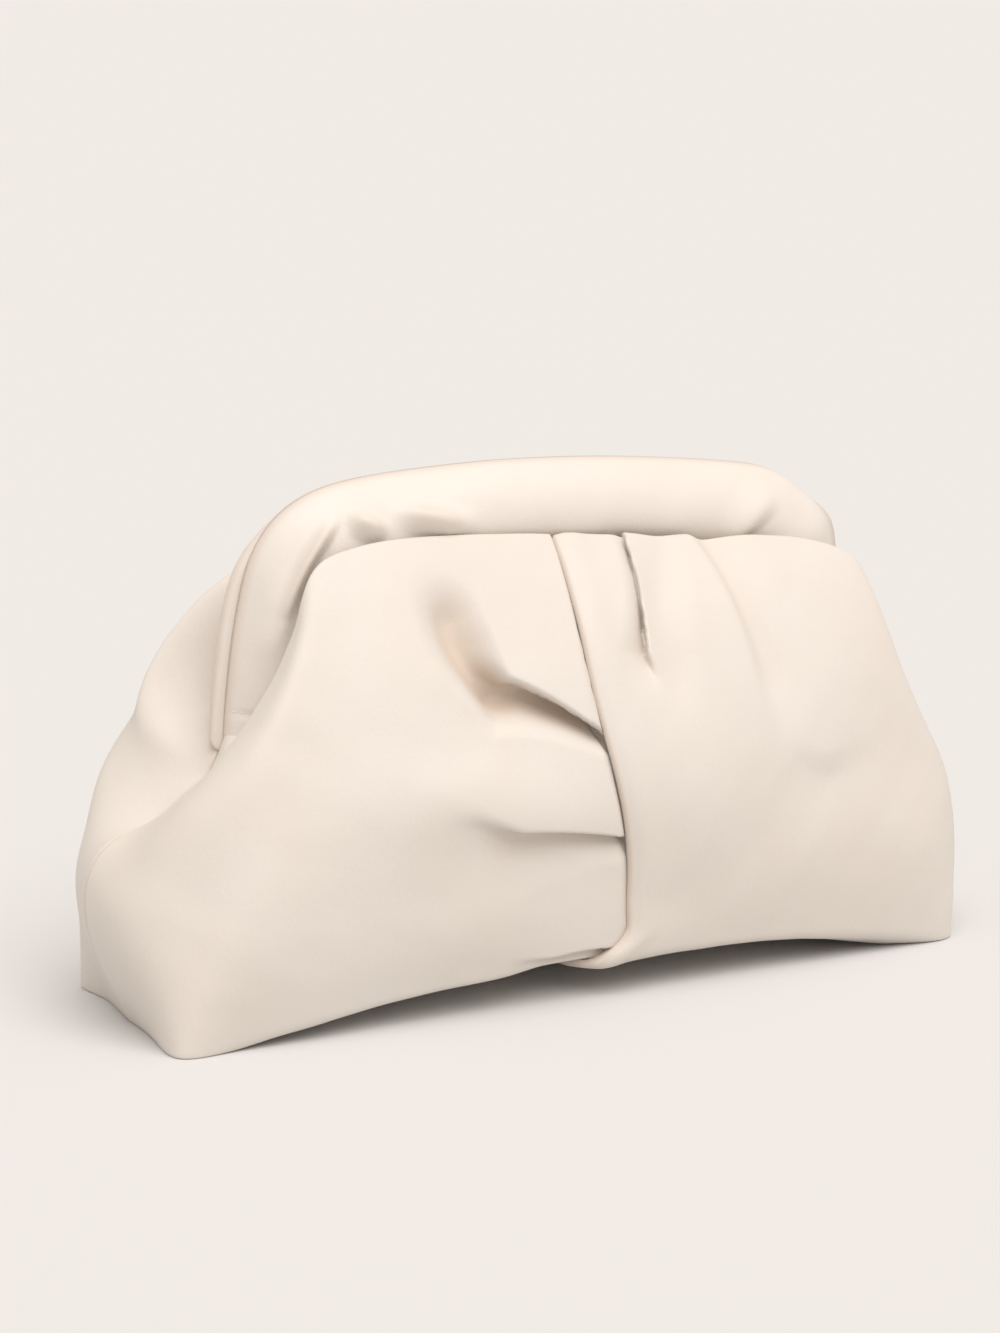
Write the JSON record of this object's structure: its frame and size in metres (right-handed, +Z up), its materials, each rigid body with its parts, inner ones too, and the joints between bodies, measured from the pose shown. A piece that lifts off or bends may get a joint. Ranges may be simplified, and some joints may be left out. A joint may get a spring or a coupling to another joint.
{
  "type": "clutch bag",
  "caption": "Soft leather frame clutch with a wrapped, pleated front and padded casings that close its mouth; stands on a flat base.",
  "frame": {"origin": "middle of the bag's box, on the surface that it stands on", "axes": "+X along the bag's length to its right as seen from the pleated front, +Y to its plain back, +Z up"},
  "size_m": [0.2973, 0.1107, 0.1604],
  "materials": {
    "panel_leather": "smooth cream leather, fine grain, soft satin sheen",
    "casing_leather": "the same cream leather drawn over padding"
  },
  "bodies": {
    "root": {"front_panel": "panel_leather", "wrap_panel": "panel_leather", "back_panel": "panel_leather", "frame_casing_front": "casing_leather", "frame_casing_back": "casing_leather"}
  },
  "joints": []
}
